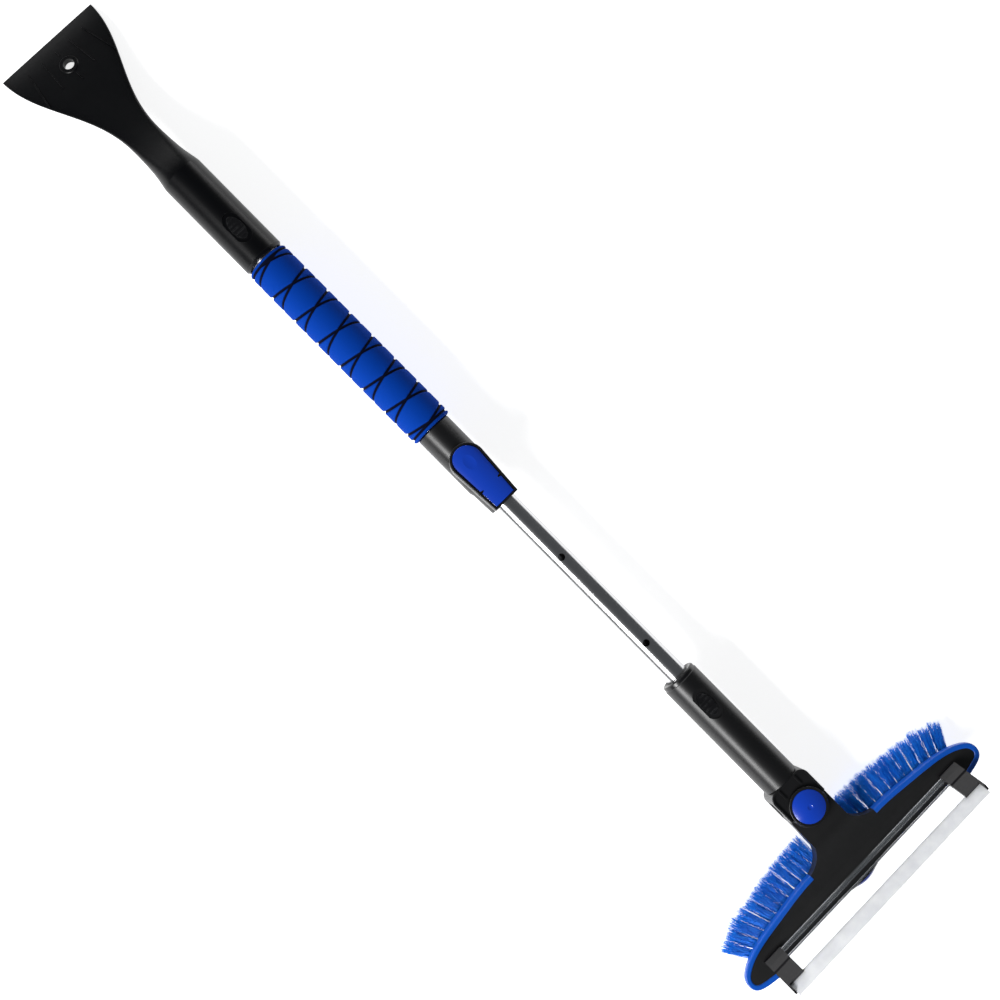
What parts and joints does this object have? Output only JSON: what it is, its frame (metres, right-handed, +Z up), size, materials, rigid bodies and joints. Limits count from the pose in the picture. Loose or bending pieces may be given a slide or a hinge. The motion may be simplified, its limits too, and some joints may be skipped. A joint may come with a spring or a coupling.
{
  "type": "snow brush with ice scraper",
  "caption": "Telescopic snow brush with a foam grip, ice scraper, lock lever and a swivelling brush head that also carries a squeegee.",
  "frame": {"origin": "on the floor under the middle of the whole object, with the handle pulled out to its full length", "axes": "+X along the handle from the ice scraper to the brush head, +Y across, +Z up to the side with the lever and the buttons"},
  "size_m": [1.0102, 0.2798, 0.063],
  "materials": {
    "aluminium": "satin",
    "polished_aluminium": "polished",
    "blue_foam": "soft closed-cell foam",
    "scraper_plastic": "satin",
    "black_plastic": "satin",
    "button_plastic": "satin",
    "head_plastic": "fine texture",
    "clip_plastic": "satin",
    "block_plastic": "satin",
    "gear_plastic": "natural",
    "blue_plastic": "gloss",
    "blue_trim": "soft moulded",
    "bristle": "fine filament",
    "chrome_trim": "mirror",
    "squeegee_rubber": "translucent",
    "steel": "zinc plated",
    "spring_steel": "bright"
  },
  "bodies": {
    "handle": {"handle_tube": "aluminium", "foam_grip": "blue_foam", "ice_scraper": "scraper_plastic", "scraper_snap_spring": "spring_steel", "lock_housing": "black_plastic", "collar_bushing": "black_plastic", "lever_pin": "steel", "lever_spring": "spring_steel"},
    "scraper_button": {"scraper_release_button": "button_plastic", "scraper_snap_pin": "steel"},
    "lever": {"release_lever": "blue_plastic", "lock_pin": "steel"},
    "slider": {"inner_tube": "polished_aluminium", "inner_end_bush": "black_plastic", "head_sleeve": "black_plastic", "sleeve_end_ring": "button_plastic", "head_snap_spring": "spring_steel", "knuckle_base": "black_plastic", "knuckle_top": "black_plastic", "knuckle_screws": "steel", "pivot_spring": "spring_steel"},
    "head_button": {"head_release_button": "button_plastic", "head_snap_pin": "steel"},
    "pivot_lock": {"pivot_button": "blue_plastic", "lock_gear": "gear_plastic", "pivot_screw": "steel"},
    "head": {"head_cover": "head_plastic", "rim_trim_left": "blue_trim", "rim_trim_right": "blue_trim", "brush_block": "block_plastic", "block_screws": "steel", "bristles_left": "bristle", "bristles_right": "bristle", "support_tufts": "bristle", "squeegee_holder": "chrome_trim", "squeegee_blade": "squeegee_rubber", "squeegee_screws": "steel", "clip_left": "clip_plastic", "clip_right": "clip_plastic"}
  },
  "joints": [
    {"name": "telescope", "type": "slide", "parent": "handle", "child": "slider", "axis": [1, 0, 0], "range_m": [-0.2, 0]},
    {"name": "lever_press", "type": "hinge", "parent": "handle", "child": "lever", "pos_m": [0.03412, 0, 0.055], "axis": [0, 1, 0], "range_deg": [-5.8, 4], "stiffness_Nm_per_rad": 1.2, "deforming": ["lever_spring"]},
    {"name": "scraper_button_press", "type": "slide", "parent": "handle", "child": "scraper_button", "axis": [0, 0, -1], "range_m": [0, 0.0025], "stiffness_N_per_m": 900, "deforming": ["scraper_snap_spring"]},
    {"name": "head_button_press", "type": "slide", "parent": "slider", "child": "head_button", "axis": [0, 0, -1], "range_m": [0, 0.0025], "stiffness_N_per_m": 900, "deforming": ["head_snap_spring"]},
    {"name": "pivot_lock_press", "type": "slide", "parent": "slider", "child": "pivot_lock", "axis": [0, 0, 1], "range_m": [-0.0005, 0.0028], "stiffness_N_per_m": 1500, "deforming": ["pivot_spring"]},
    {"name": "head_swivel", "type": "hinge", "parent": "slider", "child": "head", "pos_m": [0.40872, 0, 0.035], "axis": [0, 0, 1], "range_deg": [-90, 90]}
  ]
}
